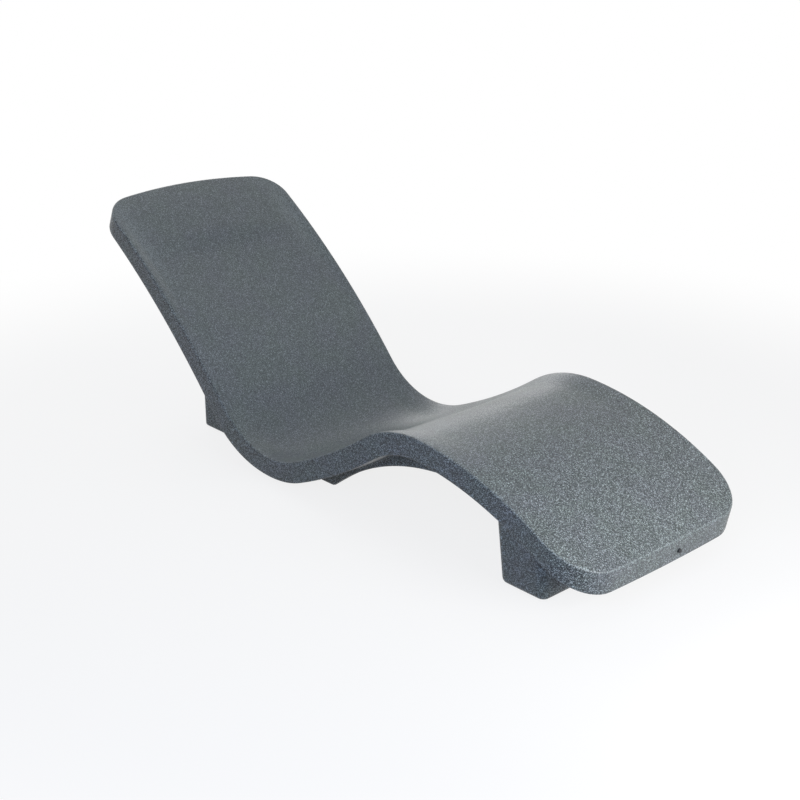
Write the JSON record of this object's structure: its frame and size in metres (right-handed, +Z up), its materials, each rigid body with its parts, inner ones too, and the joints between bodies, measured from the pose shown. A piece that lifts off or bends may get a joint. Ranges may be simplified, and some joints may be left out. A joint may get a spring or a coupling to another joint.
{
  "type": "spa relaxation lounger",
  "caption": "Moulded wave-shaped spa lounger with high backrest, seat dip and raised knee, on a rear foot, an arch and a wide front foot.",
  "frame": {"origin": "on the floor under the middle of the lounger's length and width", "axes": "+X from the head to the foot end, +Y to the left of a person lying on it, +Z up"},
  "size_m": [1.9554, 0.64, 0.6667],
  "materials": {
    "shell_plastic": "satin, fine stone speckle",
    "fitting_plastic": "satin",
    "seal_rubber": "matte",
    "pad_rubber": "matte",
    "stainless_steel": "brushed",
    "insert_brass": "machined"
  },
  "bodies": {
    "lounger": {"shell": "shell_plastic", "fill_collar": "fitting_plastic", "drain_collar": "fitting_plastic", "vent_collar": "fitting_plastic", "front_pad_right": "pad_rubber", "front_pad_left": "pad_rubber", "rear_pad_front_right": "pad_rubber", "rear_pad_front_left": "pad_rubber", "rear_pad_back_right": "pad_rubber", "rear_pad_back_left": "pad_rubber", "pad_screws": "stainless_steel", "pad_washers": "stainless_steel", "pad_inserts": "insert_brass"},
    "fill_seal": {"fill_seal": "seal_rubber"},
    "fill_cap": {"fill_cap": "fitting_plastic"},
    "drain_seal": {"drain_seal": "seal_rubber"},
    "drain_cap": {"drain_cap": "fitting_plastic"},
    "vent_plug": {"vent_cap": "fitting_plastic", "vent_seal": "seal_rubber"}
  },
  "joints": [
    {"name": "fill_lift", "type": "slide", "parent": "lounger", "child": "fill_seal", "axis": [-0.8595, 0, 0.5111], "range_m": [0, 0.0161]},
    {"name": "fill_turn", "type": "hinge", "parent": "fill_seal", "child": "fill_cap", "pos_m": [-0.9634, 0, 0.64235], "axis": [-0.8595, 0, 0.5111], "range_deg": [0, 1440]},
    {"name": "drain_lift", "type": "slide", "parent": "lounger", "child": "drain_seal", "axis": [-1, 0, 0], "range_m": [0, 0.0161]},
    {"name": "drain_turn", "type": "hinge", "parent": "drain_seal", "child": "drain_cap", "pos_m": [-0.61908, 0, 0.046], "axis": [-1, 0, 0], "range_deg": [0, 1440]},
    {"name": "vent_pull", "type": "slide", "parent": "lounger", "child": "vent_plug", "axis": [1, 0, 0], "range_m": [0, 0.012]}
  ],
  "couplings": [
    {"joint": "fill_lift", "follows": "fill_turn", "m_per_rad": 0.00063662},
    {"joint": "drain_lift", "follows": "drain_turn", "m_per_rad": 0.00063662}
  ]
}
